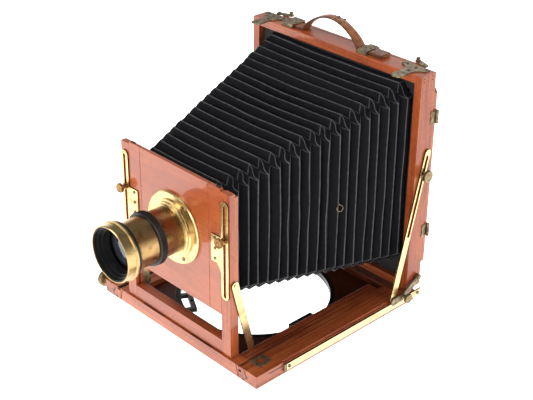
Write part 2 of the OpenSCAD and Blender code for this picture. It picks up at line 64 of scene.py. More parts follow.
def solids_of(node):
    """The boxes (low, high) of the separate solids of a CAD node, sorted by place."""
    mesh = bmesh.new()
    mesh.from_mesh(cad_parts[node].data)
    bmesh.ops.remove_doubles(mesh, verts=mesh.verts, dist=1e-6)
    todo, boxes = set(mesh.verts), []
    while todo:
        stack, found = [next(iter(todo))], []
        todo.discard(stack[0])
        while stack:
            vert = stack.pop()
            found.append(vert.co.copy())
            for edge in vert.link_edges:
                other = edge.other_vert(vert)
                if other in todo:
                    todo.discard(other)
                    stack.append(other)
        low = Vector([min(p[k] for p in found) for k in range(3)])
        high = Vector([max(p[k] for p in found) for k in range(3)])
        boxes.append((low, high))
    mesh.free()
    return sorted(boxes, key=lambda box: tuple(round(c, 5) for c in box[0]))


LENS_Z = middle("lens_flange").z
BODY_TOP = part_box("body_top_board")[1].z


# ---- studio ----
# Place of the view, its azimuth, elevation and roll in degrees, and its lens
VIEW_FROM, VIEW_TURN, VIEW_LENS = (0.9772, -1.0505, 0.8768), (46.28, 28.52, 0.5), 79.4
# White sweep under and behind the object, dark room above it
HORIZON, SKY_EDGE, SKY_TOP = 2.0, 0.45, (0.12, 0.12, 0.12, 1)
FLOOR_GLOW = 2.0
# Name, place, size and power of each lamp; all look at LAMP_AIM
LAMP_AIM = (0, -0.12, 0.15)
SOFTBOXES = (("overhead", (-0.5, -0.9, 1.9), (1.3, 1.0), 26),
             ("front", (0.5, -2.2, 0.9), (1.2, 0.9), 10),
             ("side", (2.0, -0.3, 0.8), (0.9, 0.9), 8),
             ("rear", (-0.6, 1.8, 1.2), (1.0, 0.8), 10))


def make_camera():
    """A long lens above the object's front right corner."""
    azimuth, elevation, roll = (math.radians(angle) for angle in VIEW_TURN)
    back = Vector((math.sin(azimuth) * math.cos(elevation),
                   -math.cos(azimuth) * math.cos(elevation), math.sin(elevation)))
    right = Vector((0, 0, 1)).cross(back).normalized()
    up = back.cross(right)
    rolled_right = right * math.cos(roll) + up * math.sin(roll)
    rolled_up = up * math.cos(roll) - right * math.sin(roll)
    data = bpy.data.cameras.new("view")
    data.sensor_width = 36
    data.lens = VIEW_LENS
    data.clip_end = 50
    camera = bpy.data.objects.new("view", data)
    camera.matrix_world = Matrix.Translation(VIEW_FROM) @ Matrix(
        (rolled_right, rolled_up, back)).transposed().to_4x4()
    bpy.context.scene.collection.objects.link(camera)
    bpy.context.scene.camera = camera


def softbox(name, place, size, power):
    data = bpy.data.lights.new(name, "AREA")
    data.shape = "RECTANGLE"
    data.size, data.size_y = size
    data.energy = power
    lamp = bpy.data.objects.new(name, data)
    lamp.location = place
    lamp.rotation_euler = (Vector(LAMP_AIM) - Vector(place)).to_track_quat("-Z", "Y").to_euler()
    bpy.context.scene.collection.objects.link(lamp)


def make_world():
    """Bright at the horizon, which polished upright faces mirror, and dark overhead."""
    world = bpy.data.worlds.new("studio")
    world.use_nodes = True
    nodes, links = world.node_tree.nodes, world.node_tree.links
    split = nodes.new("ShaderNodeSeparateXYZ")
    links.new(nodes.new("ShaderNodeTexCoord").outputs["Generated"], split.inputs[0])
    ramp = nodes.new("ShaderNodeValToRGB")
    ramp.color_ramp.elements[0].position, ramp.color_ramp.elements[0].color = 0.0, (1, 1, 1, 1)
    ramp.color_ramp.elements[1].position, ramp.color_ramp.elements[1].color = SKY_EDGE, SKY_TOP
    links.new(split.outputs["Z"], ramp.inputs[0])
    links.new(ramp.outputs[0], nodes["Background"].inputs["Color"])
    nodes["Background"].inputs["Strength"].default_value = HORIZON
    bpy.context.scene.world = world


def make_floor():
    half, drop = 4.0, -0.3 * MM
    mesh = bpy.data.meshes.new("floor")
    mesh.from_pydata([(-half, -half, drop), (half, -half, drop), (half, half, drop),
                      (-half, half, drop)], [], [(0, 1, 2, 3)])
    floor = bpy.data.objects.new("floor", mesh)
    bpy.context.scene.collection.objects.link(floor)
    white = Surface("floor_white", Roughness=0.9)
    white.set("Base Color", (0.3, 0.3, 0.3, 1))
    white.set("Emission Color", (1, 1, 1, 1))
    white.set("Emission Strength", FLOOR_GLOW)
    mesh.materials.append(white.material)


def make_studio():
    bpy.context.scene.view_settings.view_transform = "Standard"
    make_world()
    for lamp in SOFTBOXES:
        softbox(*lamp)
    make_floor()


# ---- materials ----
class Surface:
    """A material's Principled shader, with short ways to feed its sockets."""

    def __init__(self, name, **constants):
        self.material = bpy.data.materials.new(name)
        self.material.use_nodes = True
        self.tree = self.material.node_tree
        self.shader = self.tree.nodes["Principled BSDF"]
        for socket, value in constants.items():
            self.set(socket.replace("_", " "), value)
        self.place = self.node("ShaderNodeTexCoord").outputs["Object"]

    def set(self, socket, value):
        self.shader.inputs[socket].default_value = value

    def node(self, kind, **options):
        made = self.tree.nodes.new(kind)
        for key, value in options.items():
            setattr(made, key, value)
        return made

    def put(self, socket, value):
        """Links value to a socket, or sets it when it is a constant."""
        if isinstance(value, bpy.types.NodeSocket):
            self.tree.links.new(value, socket)
        else:
            socket.default_value = value

    def feed(self, name, output):
        self.put(self.shader.inputs[name], output)

    def maths(self, operation, a, b=0.0):
        made = self.node("ShaderNodeMath", operation=operation)
        self.put(made.inputs[0], a)
        self.put(made.inputs[1], b)
        return made.outputs[0]

    def shifted(self):
        """Object coordinates, moved by a random amount for each piece."""
        chance = self.node("ShaderNodeObjectInfo").outputs["Random"]
        spread = self.node("ShaderNodeVectorMath", operation="SCALE")
        spread.inputs[0].default_value = (3.1, 5.3, 7.7)
        self.put(spread.inputs["Scale"], chance)
        moved = self.node("ShaderNodeVectorMath", operation="ADD")
        self.put(moved.inputs[0], self.place)
        self.put(moved.inputs[1], spread.outputs[0])
        return moved.outputs[0]

    def noise(self, per_metre, stretch=(1, 1, 1), detail=3.0, roughness=0.5, distortion=0.0,
              place=None):
        mapping = self.node("ShaderNodeMapping")
        self.put(mapping.inputs["Vector"], place or self.place)
        mapping.inputs["Scale"].default_value = stretch
        made = self.node("ShaderNodeTexNoise")
        self.put(made.inputs["Vector"], mapping.outputs[0])
        made.inputs["Scale"].default_value = per_metre
        made.inputs["Detail"].default_value = detail
        made.inputs["Roughness"].default_value = roughness
        made.inputs["Distortion"].default_value = distortion
        return made.outputs["Fac"]

    def cells(self, per_metre):
        made = self.node("ShaderNodeTexVoronoi", feature="F1")
        self.put(made.inputs["Vector"], self.place)
        made.inputs["Scale"].default_value = per_metre
        return made.outputs["Distance"]

    def ramp(self, value, *stops):
        """Colours between stops of (position, colour)."""
        made = self.node("ShaderNodeValToRGB")
        elements = made.color_ramp.elements
        while len(elements) < len(stops):
            elements.new(0.5)
        for element, (position, colour) in zip(elements, stops):
            element.position = position
            element.color = (*colour, 1)
        self.put(made.inputs[0], value)
        return made.outputs["Color"]

    def range(self, value, low, high, to_low, to_high):
        made = self.node("ShaderNodeMapRange")
        for socket, number in zip(made.inputs, (value, low, high, to_low, to_high)):
            self.put(socket, number)
        return made.outputs[0]

    def parts_of(self, vector):
        split = self.node("ShaderNodeSeparateXYZ")
        self.put(split.inputs[0], vector)
        return split.outputs

    def mix(self, share, first, second):
        made = self.node("ShaderNodeMix", data_type="RGBA")
        self.put(made.inputs["Factor"], share)
        for socket, colour in ((made.inputs[6], first), (made.inputs[7], second)):
            self.put(socket, colour if isinstance(colour, bpy.types.NodeSocket) else (*colour, 1))
        return made.outputs[2]

    def bump(self, height, depth, after=None):
        """Adds a height in the range 0 to 1, of this depth in metres."""
        made = self.node("ShaderNodeBump")
        made.inputs["Strength"].default_value = 1
        made.inputs["Distance"].default_value = depth
        self.put(made.inputs["Height"], height)
        if after is not None:
            self.put(made.inputs["Normal"], after)
        self.feed("Normal", made.outputs[0])
        return made.outputs[0]


def along(axis, share):
    """Stretch that makes a noise long in one direction."""
    return tuple(share if k == axis else 1.0 for k in range(3))


def mahogany(name, grain, deep=1.0, contrast=1.0, shine=0.6, bands=0.0):
    """French-polished mahogany: long streaks, short dark pores and a slow ribbon figure."""
    s = Surface(name, Roughness=0.42, Coat_Weight=shine, Coat_Roughness=0.06, Coat_IOR=1.55,
                Specular_IOR_Level=0.3)
    place = s.shifted()
    streaks = s.noise(330, along(grain, 0.045), 6, 0.6, 0.5, place)
    ribbon = s.noise(26, along(grain, 0.22), 3, 0.5, 1.2, place)
    mottle = s.noise(210, (1, 1, 1), 5, 0.6, 0.8, place)
    tone = s.maths("ADD", s.maths("MULTIPLY", streaks, 0.42), s.maths("MULTIPLY", ribbon, 0.36))
    tone = s.maths("ADD", tone, s.maths("MULTIPLY", mottle, 0.22))
    tone = s.maths("ADD", s.maths("MULTIPLY", s.maths("SUBTRACT", tone, 0.5), contrast), 0.5)
    shades = ((0.30, (0.115, 0.017, 0.005)), (0.45, (0.275, 0.050, 0.012)),
              (0.56, (0.39, 0.088, 0.020)), (0.74, (0.52, 0.150, 0.040)))
    wood = s.ramp(tone, *((at, tuple(c * deep for c in colour)) for at, colour in shades))
    pores = s.noise(1500, along(grain, 0.05), 2, 0.6, 0.0, place)
    pore = s.range(pores, 0.60, 0.70, 0.0, 1.0)
    if bands:
        lines = s.noise(150, along(grain, 0.012), 3, 0.6, 0.2, place)
        wood = s.mix(s.maths("MULTIPLY", s.range(lines, 0.54, 0.66, 0.0, 1.0), bands), wood,
                     (0.030, 0.007, 0.003))
    s.feed("Base Color", s.mix(s.maths("MULTIPLY", pore, 0.55), wood, (0.04, 0.008, 0.004)))
    s.feed("Roughness", s.range(streaks, 0.3, 0.7, 0.32, 0.50))
    first = s.bump(s.maths("SUBTRACT", 1.0, pore), 0.03 * MM)
    s.bump(s.noise(55, (1, 1, 1), 2, 0.5, 0.0, place), 0.10 * MM, first)
    return s.material


def brass(name, bright, dull, polish=0.24, turned=False, faces=None, patchy=0.75, bore=0.0,
          edge=(0.055, 0.026, 0.010)):
    """Brass with patches of worn lacquer; plates lying across the axis faces get painted shade,
    dark side walls that stand in for the shadow and reflection round their rims, and turned
    tubes are blackened inside the radius bore."""
    s = Surface(name, Metallic=1.0)
    place = s.shifted()
    patches = s.noise(60, (1, 1, 1), 5, 0.62, 0.6, place)
    specks = s.noise(900, (1, 1, 1), 3, 0.6, 0.0, place)
    worn = s.maths("ADD", s.maths("MULTIPLY", patches, patchy),
                   s.maths("MULTIPLY", specks, 1 - patchy))
    colour = s.ramp(worn, (0.34, dull), (0.50, bright), (0.70, bright))
    if faces is not None:
        # Painted shade: faces turned away from the axis take the dark edge colour, standing in for
        # shadow and reflection round the rims.
        normal = s.parts_of(s.node("ShaderNodeTexCoord").outputs["Normal"])
        lean = s.maths("ABSOLUTE", normal[faces])
        colour = s.mix(s.range(lean, 0.20, 0.45, 1.0, 0.0), colour, edge)
    if bore:
        place = s.parts_of(s.place)
        squares = [s.maths("POWER", s.maths("ABSOLUTE", s.maths("SUBTRACT", place[k], at)), 2)
                   for k, at in ((X, 0.0), (Z, LENS_Z))]
        radius = s.maths("SQRT", s.maths("ADD", *squares))
        inside = s.range(radius, bore - 0.1 * MM, bore, 1.0, 0.0)
        colour = s.mix(inside, colour, (0.006, 0.006, 0.007))
    s.feed("Base Color", colour)
    s.feed("Roughness", s.range(worn, 0.3, 0.65, polish + 0.14, polish))
    if turned:
        marks = s.noise(2600, (0.012, 1.0, 0.012), 3, 0.6)
        s.bump(marks, 0.004 * MM)
    else:
        s.bump(s.noise(1400, (1, 0.16, 0.16), 3, 0.6, 0.2), 0.006 * MM)
    return s.material


def aged_brass(name):
    """Tarnished brass: olive brown with paler rubbed patches."""
    s = Surface(name, Metallic=0.85)
    place = s.shifted()
    tarnish = s.noise(160, (1, 1, 1), 6, 0.65, 0.8, place)
    s.feed("Base Color", s.ramp(tarnish, (0.30, (0.045, 0.030, 0.016)),
                                (0.48, (0.17, 0.125, 0.072)), (0.66, (0.34, 0.265, 0.16))))
    s.feed("Roughness", s.range(tarnish, 0.3, 0.7, 0.60, 0.36))
    s.bump(s.noise(800, (1, 1, 1), 4, 0.6, 0.0, place), 0.06 * MM)
    return s.material


def black_metal(name, worn=(0.16, 0.15, 0.13)):
    """Black lacquered brass with small rubbed spots."""
    s = Surface(name, Metallic=0.4, Specular_IOR_Level=0.5)
    rub = s.noise(420, (1, 1, 1), 5, 0.7, 0.4)
    s.feed("Base Color", s.mix(s.range(rub, 0.60, 0.72, 0.0, 0.7), (0.012, 0.012, 0.013), worn))
    s.feed("Roughness", s.range(rub, 0.3, 0.7, 0.42, 0.28))
    s.bump(s.noise(1600, (1, 1, 1), 2), 0.02 * MM)
    return s.material


def black_wood(name):
    s = Surface(name, Specular_IOR_Level=0.3)
    grain = s.noise(500, (0.06, 1, 1), 4, 0.6, 0.3)
    s.feed("Base Color", s.ramp(grain, (0.3, (0.006, 0.006, 0.006)), (0.7, (0.018, 0.017, 0.016))))
    s.feed("Roughness", s.range(grain, 0.3, 0.7, 0.75, 0.55))
    s.bump(grain, 0.05 * MM)
    return s.material


def bellows_cloth(name):
    """Black leathercloth, rubbed grey along the folds, where the wear attribute is high."""
    s = Surface(name, Specular_IOR_Level=0.07, Sheen_Weight=0.02, Sheen_Roughness=0.5)
    wear = s.node("ShaderNodeAttribute", attribute_name="wear").outputs["Fac"]
    patches = s.noise(140, (1, 1, 1), 5, 0.65, 0.3)
    rubbed = s.maths("MULTIPLY", wear, s.range(patches, 0.30, 0.62, 0.45, 1.0))
    cloth = s.ramp(patches, (0.3, (0.0015, 0.0015, 0.0022)), (0.72, (0.006, 0.006, 0.008)))
    s.feed("Base Color", s.mix(rubbed, cloth, (0.115, 0.113, 0.118)))
    s.feed("Roughness", s.range(patches, 0.3, 0.7, 0.55, 0.72))
    grain = s.bump(s.cells(1300), 0.05 * MM)
    s.bump(s.noise(90, (1, 1, 1), 3, 0.6), 0.5 * MM, grain)
    return s.material


def leather(name):
    """Old brown strap leather, darker towards its edges and creased."""
    s = Surface(name, Specular_IOR_Level=0.4, Coat_Weight=0.15, Coat_Roughness=0.3)
    patches = s.noise(130, (1, 1, 1), 5, 0.65, 0.6)
    edge = s.node("ShaderNodeAttribute", attribute_name="wear").outputs["Fac"]
    hide = s.ramp(patches, (0.32, (0.12, 0.033, 0.011)), (0.52, (0.27, 0.086, 0.026)),
                  (0.72, (0.42, 0.155, 0.055)))
    s.feed("Base Color", s.mix(s.maths("MULTIPLY", edge, 0.92), hide, (0.035, 0.012, 0.006)))
    s.feed("Roughness", s.range(patches, 0.3, 0.7, 0.55, 0.38))
    grain = s.bump(s.cells(900), 0.10 * MM)
    s.bump(s.noise(260, (0.4, 1, 1), 4, 0.65), 0.25 * MM, grain)
    return s.material


def lens_glass(name):
    """Coated-looking old glass over a dark tube."""
    s = Surface(name, Transmission_Weight=0.6, IOR=1.52, Coat_Weight=0.6, Coat_Roughness=0.01)
    s.set("Base Color", (0.05, 0.06, 0.08, 1))
    s.feed("Roughness", s.range(s.noise(600, (1, 1, 1), 4, 0.6), 0.6, 0.9, 0.01, 0.04))
    return s.material


def ground_glass_finish(name):
    """Finely ground glass: white and translucent with a fine tooth."""
    s = Surface(name, Transmission_Weight=0.75, IOR=1.5)
    tooth = s.noise(2500, (1, 1, 1), 2)
    s.feed("Base Color", s.ramp(s.noise(30), (0.3, (0.74, 0.78, 0.76)), (0.7, (0.84, 0.87, 0.85))))
    s.feed("Roughness", s.range(tooth, 0.3, 0.7, 0.38, 0.55))
    s.bump(tooth, 0.02 * MM)
    return s.material


# Dark brown for real joint lines and nail heads; also used as painted shade in the saw kerfs and in
# the gaps between the rail strips.
def dark_marks_and_painted_shade(name):
    s = Surface(name, Specular_IOR_Level=0.2)
    s.feed("Base Color", s.ramp(s.noise(300), (0.3, (0.012, 0.006, 0.004)),
                                (0.7, (0.035, 0.013, 0.008))))
    s.set("Roughness", 0.6)
    return s.material


make_camera()
make_studio()

WOOD = {X: mahogany("mahogany_across", X), Z: mahogany("mahogany_upright", Z)}
PANEL_WOOD = mahogany("mahogany_panel", X, 1.05, 0.5, 0.7)
BODY_WOOD = mahogany("mahogany_body_sides", Z, 0.9, 1.0, 0.35)
RAIL_WOOD = mahogany("mahogany_rails", Y, 0.88, 1.2, 0.5, 0.75)
# Painted shade: a darkened copy of the mahogany for the rear cross rail, standing in for the
# bellows' shade over it.
UNDER_BELLOWS_SHADE_WOOD = mahogany("mahogany_rear_rail_painted_shade", X, 0.32, 1.2, 0.3)
# Painted shade: a much darkened copy of the mahogany for the floor board, standing in for the shade
# inside the base.
SHADE_WOOD = mahogany("mahogany_floor_painted_shade", X, 0.17, 1.0, 0.1)
SHEET_BRASS = (0.80, 0.60, 0.29), (0.55, 0.36, 0.15), 0.20, False
PLATE_BRASS = brass("plate_brass", *SHEET_BRASS, faces=Y, patchy=0.9)
LUG_METAL = brass("lug_metal", (0.16, 0.16, 0.16), (0.05, 0.05, 0.05), 0.35, faces=Z,
                  edge=(0.01, 0.01, 0.01))
LINK_BRASS = brass("link_brass", *SHEET_BRASS, faces=X, patchy=0.9)
BAR_BRASS = brass("bar_brass", (0.60, 0.51, 0.31), (0.50, 0.39, 0.20), 0.24, faces=X, patchy=0.9)
BARREL_BRASS = brass("barrel_brass", (0.42, 0.265, 0.110), (0.13, 0.078, 0.034), 0.19, True,
                     bore=28.4 * MM)
REAR_BARREL_BRASS = brass("rear_barrel_brass", (0.27, 0.18, 0.085), (0.085, 0.052, 0.025), 0.21,
                          True, bore=28.4 * MM)
FLANGE_BRASS = brass("flange_brass", (0.66, 0.50, 0.25), (0.42, 0.29, 0.12), 0.17, True,
                     patchy=0.9)
HOOD_BRASS = brass("hood_brass", (0.50, 0.36, 0.155), (0.28, 0.19, 0.085), 0.20, True,
                   patchy=0.9, bore=34.3 * MM)
KNOB_BRASS = brass("knob_brass", (0.30, 0.165, 0.055), (0.10, 0.052, 0.020), 0.24)
OLD_KNOB_BRASS = brass("old_knob_brass", (0.25, 0.19, 0.095), (0.08, 0.055, 0.027), 0.30)
AGED_BRASS = aged_brass("aged_brass")
BLACK_METAL = black_metal("black_lacquer")
BAFFLE_BLACK = black_metal("baffle_black", (0.03, 0.03, 0.03))
BLACK_WOOD = black_wood("black_wood")
CLOTH = bellows_cloth("bellows_cloth")
LEATHER = leather("brown_leather")
LENS_GLASS = lens_glass("lens_glass")
GROUND_GLASS = ground_glass_finish("ground_glass")
DARK_MARKS_AND_SHADE = dark_marks_and_painted_shade("dark_marks_and_painted_shade")


# ---- mesh tools ----
def add_piece(name, verts, faces, material, body=None, stands_for=(), slot=None, smooth=False):
    mesh = bpy.data.meshes.new(name)
    mesh.from_pydata([tuple(v) for v in verts], [], faces)
    mesh.validate()
    mesh.polygons.foreach_set("use_smooth", [smooth] * len(mesh.polygons))
    mesh.materials.append(material)
    piece = bpy.data.objects.new(name, mesh)
    bpy.context.scene.collection.objects.link(piece)
    if body:
        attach(piece, body)
    if stands_for:
        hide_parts(*stands_for)
    return piece


def soften(piece, width, angle=35):
    """Rounds the sharp edges of a piece without touching its mesh."""
    weld = piece.modifiers.new("weld", "WELD")
    weld.merge_threshold = 1e-6
    bevel = piece.modifiers.new("rounded_edges", "BEVEL")
    bevel.width = width
    bevel.segments = 2
    bevel.limit_method = "ANGLE"
    bevel.angle_limit = math.radians(angle)
    bevel.miter_outer = "MITER_ARC"
    normals = piece.modifiers.new("flat_faces", "WEIGHTED_NORMAL")
    normals.keep_sharp = True
    return piece


def turned_mesh(profile, segments=64, knurl=None):
    """Revolves (radius, height) points about +Z; knurl cuts ribs, as (low, high, depth)."""
    verts, faces = [], []
    for radius, height in profile:
        for k in range(segments):
            r = radius
            if knurl and knurl[0] <= height <= knurl[1] and k % 2:
                r -= knurl[2]
            turn = 2 * math.pi * k / segments
            verts.append(Vector((r * math.cos(turn), r * math.sin(turn), height)))
    for ring in range(len(profile) - 1):
        for k in range(segments):
            a, b = ring * segments + k, ring * segments + (k + 1) % segments
            faces.append((a, b, b + segments, a + segments))
    faces.append(tuple(range(segments - 1, -1, -1)))
    last = (len(profile) - 1) * segments
    faces.append(tuple(range(last, last + segments)))
    return verts, faces


BOX_FACES = ((0, 3, 2, 1), (4, 5, 6, 7), (0, 1, 5, 4), (1, 2, 6, 5), (2, 3, 7, 6), (3, 0, 4, 7))


def slotted_head(radius, height, turn):
    """A screw head on +Z with a driver slot across it: two half discs on a thin bar."""
    half, floor, count = radius * 0.22, height * 0.35, 14
    arc0 = math.acos(half / radius)
    verts, faces = [], []

    def half_disc(sign):
        start = len(verts)
        outline = [Vector((sign * radius * math.cos(a), radius * math.sin(a)))
                   for a in (-arc0 + 2 * arc0 * k / count for k in range(count + 1))]
        verts.extend(Vector((p.x, p.y, 0)) for p in outline)
        verts.extend(Vector((p.x, p.y, height * 0.6)) for p in outline)
        for p in outline:
            verts.append(Vector((max(abs(p.x * 0.93), half) * sign, p.y * 0.93, height)))
        n = count + 1
        for level in (0, 1):
            for k in range(count):
                a = start + level * n + k
                quad = (a, a + 1, a + 1 + n, a + n)
                faces.append(quad if sign > 0 else quad[::-1])
            a, b = start + level * n, start + level * n + count
            wall = (b, a, a + n, b + n)
            faces.append(wall if sign > 0 else wall[::-1])
        top = tuple(range(start + 2 * n, start + 3 * n))
        base = tuple(range(start, start + n))
        faces.append(top if sign > 0 else top[::-1])
        faces.append(base[::-1] if sign > 0 else base)

    half_disc(1)
    half_disc(-1)
    start = len(verts)
    reach = radius * math.sin(arc0)
    for z in (0, floor):
        for x, y in ((-half, -reach), (half, -reach), (half, reach), (-half, reach)):
            verts.append(Vector((x, y, z)))
    faces += [tuple(start + k for k in quad) for quad in BOX_FACES]
    spin = Matrix.Rotation(turn, 4, "Z")
    return [spin @ v for v in verts], faces


def facing(place, axis):
    """Matrix that takes +Z to axis and the origin to place."""
    return Matrix.Translation(place) @ Vector(axis).to_track_quat("Z", "Y").to_matrix().to_4x4()


class Parts:
    """Gathers several shapes into one mesh."""

    def __init__(self):
        self.verts, self.faces = [], []

    def add(self, shape, matrix=Matrix()):
        verts, faces = shape
        start = len(self.verts)
        self.verts += [matrix @ Vector(v) for v in verts]
        self.faces += [tuple(start + k for k in face) for face in faces]

    def piece(self, name, material, body, **options):
        return add_piece(name, self.verts, self.faces, material, body, **options)


def block_mesh(low, high):
    x0, y0, z0 = low
    x1, y1, z1 = high
    verts = [(x0, y0, z0), (x1, y0, z0), (x1, y1, z0), (x0, y1, z0),
             (x0, y0, z1), (x1, y0, z1), (x1, y1, z1), (x0, y1, z1)]
    return [Vector(v) for v in verts], BOX_FACES


def ring_mesh(radius, wire):
    """A wire ring about +Z."""
    turns, sides = 40, 12
    verts, faces = [], []
    for k in range(turns):
        turn = 2 * math.pi * k / turns
        for i in range(sides):
            a = 2 * math.pi * i / sides
            r = radius + wire * math.cos(a)
            verts.append(Vector((r * math.cos(turn), r * math.sin(turn), wire * math.sin(a))))
            b = (k + 1) % turns
            faces.append((k * sides + i, b * sides + i, b * sides + (i + 1) % sides,
                          k * sides + (i + 1) % sides))
    return verts, faces


# ---- finishes of the CAD nodes ----
TIMBERS = {
    WOOD[X]: ["front_bar", "standard_foot", "body_top_board", "body_bottom_board",
              "reversing_back", "screen_frame"],
    UNDER_BELLOWS_SHADE_WOOD: ["rear_cross_rail"],
    WOOD[Z]: ["upright_left", "upright_right"],
    BODY_WOOD: ["body_left_board", "body_right_board"],
    PANEL_WOOD: ["lens_panel"],
    RAIL_WOOD: ["side_rail_left", "side_rail_right", "guide_strip_left", "guide_strip_right",
                "focus_rail_left", "focus_rail_right"],
    SHADE_WOOD: ["floor_board"],
}
METALS = {
    BAR_BRASS: ["slide_bars"],
    PLATE_BRASS: ["rise_plate_left", "rise_plate_right"],
    LINK_BRASS: ["stay_left", "stay_right", "strut_left", "strut_right", "rack", "pinion"],
    FLANGE_BRASS: ["lens_flange"],
    HOOD_BRASS: ["lens_hood"],
    BARREL_BRASS: ["front_barrel"],
    REAR_BARREL_BRASS: ["rear_barrel"],
    AGED_BRASS: ["carriages", "corner_plates", "handle_loops", "back_catch_left",
                 "back_catch_right", "hinge_leaves", "hinge_straps", "catch_strikers"],
    BLACK_METAL: ["turntable_ring", "iris_blades"],
    LUG_METAL: ["leg_sockets"],
    BAFFLE_BLACK: ["lens_baffle"],
}
EDGE_WOOD = 0.55 * MM
EDGE_METAL = 0.22 * MM
EDGE_KNOB = 0.12 * MM


def finish_node(name, material, edge=None):
    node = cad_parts[name]
    node.data.materials.clear()
    node.data.materials.append(material)
    if edge:
        soften(node, edge)


def finish_nodes():
    for material, names in TIMBERS.items():
        for name in names:
            finish_node(name, material, EDGE_WOOD)
    for material, names in METALS.items():
        for name in names:
            turned = material in (FLANGE_BRASS, HOOD_BRASS, BARREL_BRASS, REAR_BARREL_BRASS,
                                  BAFFLE_BLACK)
            finish_node(name, material, None if turned else EDGE_METAL)
    finish_node("bellows_frame", BLACK_WOOD, EDGE_WOOD)
    finish_node("front_element", LENS_GLASS)
    finish_node("rear_element", LENS_GLASS)
    finish_node("ground_glass", GROUND_GLASS)


# ---- bellows ----
PLEATS = 19
FOLD_DEPTH = 8.5 * MM
RIDGE_CUT = 16 * MM
VALLEY_CUT = 1.5 * MM
CREASE = 0.7 * MM
SIDE_STEPS = 12
CORNER_STEPS = 6
# Stations through one pleat, valley to ridge to valley, as a share of its length
STATIONS = (0.0, 0.05, 0.2, 0.35, 0.455, 0.5, 0.545, 0.65, 0.8, 0.95)
# Pieces of the bellows from the rear: the bodies at their two ends, and their first and last valleys
BELLOWS_STAGES = (("rear_body", "carriage", 0, 5), ("carriage", "base", 5, 10),
                  ("base", "focus_frame", 10, 15), ("focus_frame", "lens_board", 15, 19))


